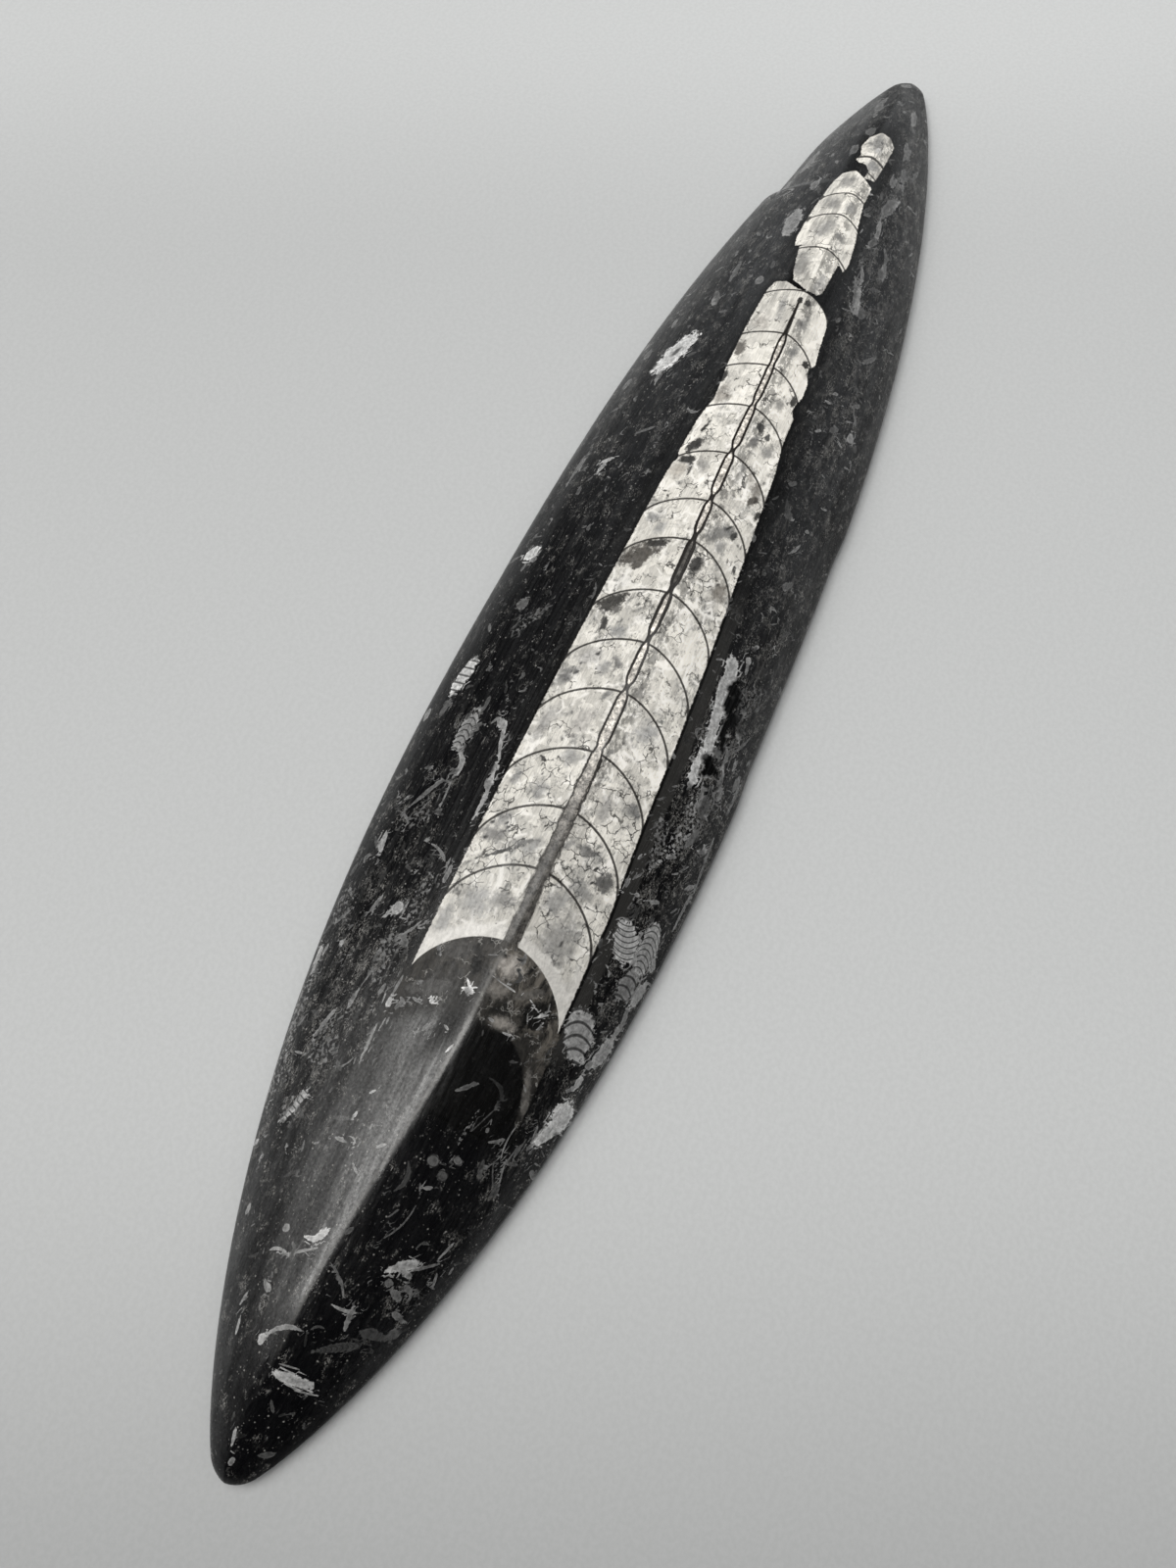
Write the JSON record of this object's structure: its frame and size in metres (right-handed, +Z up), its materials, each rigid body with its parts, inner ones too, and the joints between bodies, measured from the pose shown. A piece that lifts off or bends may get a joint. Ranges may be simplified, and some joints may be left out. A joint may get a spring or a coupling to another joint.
{
  "type": "orthoceras fossil",
  "caption": "Long spindle of polished black limestone with a keel that follows the white chambered shell set in it, on a flat sawn base, for display.",
  "frame": {"origin": "middle of the flat sawn base", "axes": "+X along the stone towards the shell's narrow end, +Y across the stone, +Z up from the base to the keel"},
  "size_m": [0.297, 0.0565, 0.019],
  "materials": {
    "polished_limestone": "black limestone with a white calcite shell, polished to a satin gloss on top, sawn matt below"
  },
  "bodies": {
    "root": {"orthoceras_stone": "polished_limestone"}
  },
  "joints": []
}
